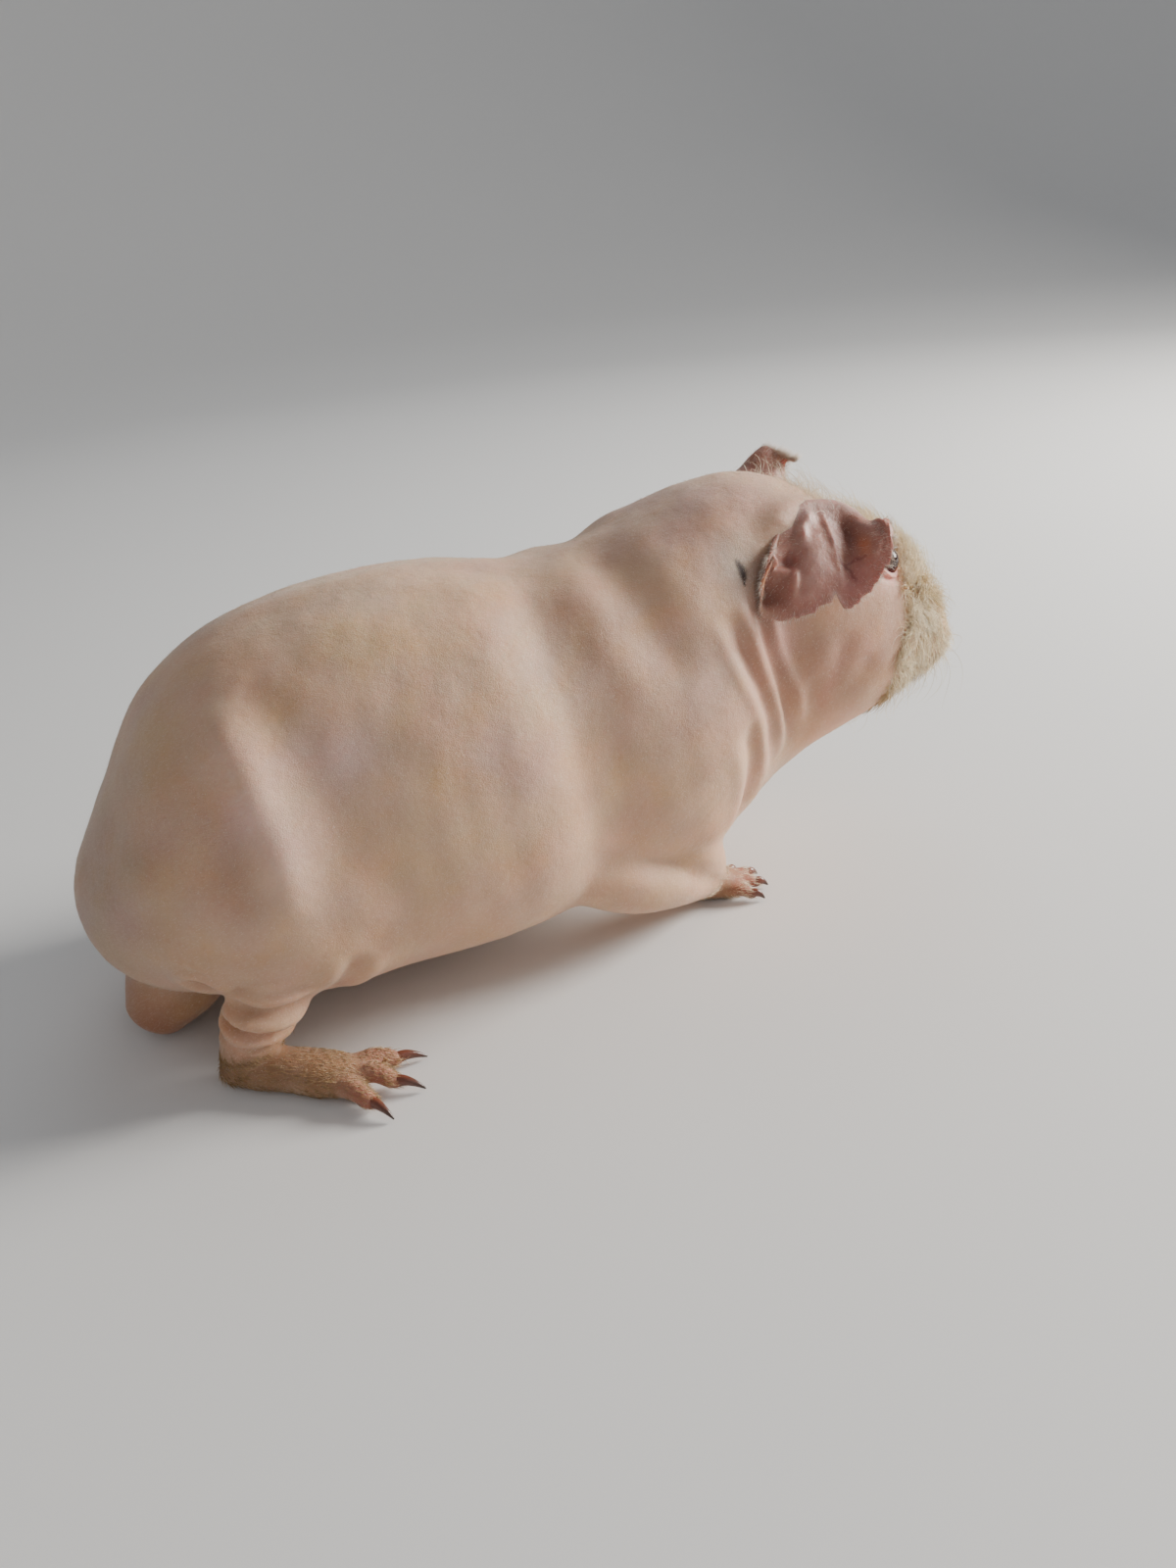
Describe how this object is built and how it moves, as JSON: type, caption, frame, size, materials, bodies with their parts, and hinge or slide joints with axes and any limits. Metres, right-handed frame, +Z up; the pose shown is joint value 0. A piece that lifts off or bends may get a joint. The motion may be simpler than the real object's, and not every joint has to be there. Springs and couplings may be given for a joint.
{
  "type": "skinny pig",
  "caption": "Life-size still model of a skinny pig, a hairless guinea pig, standing with its head raised, with a furred muzzle and feet.",
  "frame": {"origin": "middle of the bounding box in plan, at the floor that the feet stand on", "axes": "+X forward to the nose, +Y the animal's left, +Z up"},
  "size_m": [0.2454, 0.1412, 0.1116],
  "materials": {
    "skin": "bare, finely wrinkled pinkish beige skin with yellowish and purplish patches",
    "ear": "thin, soft reddish brown ear skin with a satin sheen",
    "foot_fur": "short golden brown fur over reddish toes",
    "coat": "wiry cream hair in tufts",
    "eye": "wet, dark ruby",
    "claw": "dark brown horn"
  },
  "bodies": {
    "root": {"torso": "skin", "neck": "skin", "head": "skin", "thigh_right": "skin", "thigh_left": "skin", "foreleg_right": "skin", "foreleg_left": "skin", "hind_foot_right": "foot_fur", "hind_foot_left": "foot_fur", "forefoot_right": "foot_fur", "forefoot_left": "foot_fur", "ear_right": "ear", "ear_left": "ear", "eye_right": "eye", "eye_left": "eye", "claw_hind_outer_right": "claw", "claw_hind_middle_right": "claw", "claw_hind_inner_right": "claw", "claw_hind_outer_left": "claw", "claw_hind_middle_left": "claw", "claw_hind_inner_left": "claw", "claw_fore_first_right": "claw", "claw_fore_second_right": "claw", "claw_fore_third_right": "claw", "claw_fore_fourth_right": "claw", "claw_fore_first_left": "claw", "claw_fore_second_left": "claw", "claw_fore_third_left": "claw", "claw_fore_fourth_left": "claw"}
  },
  "joints": []
}
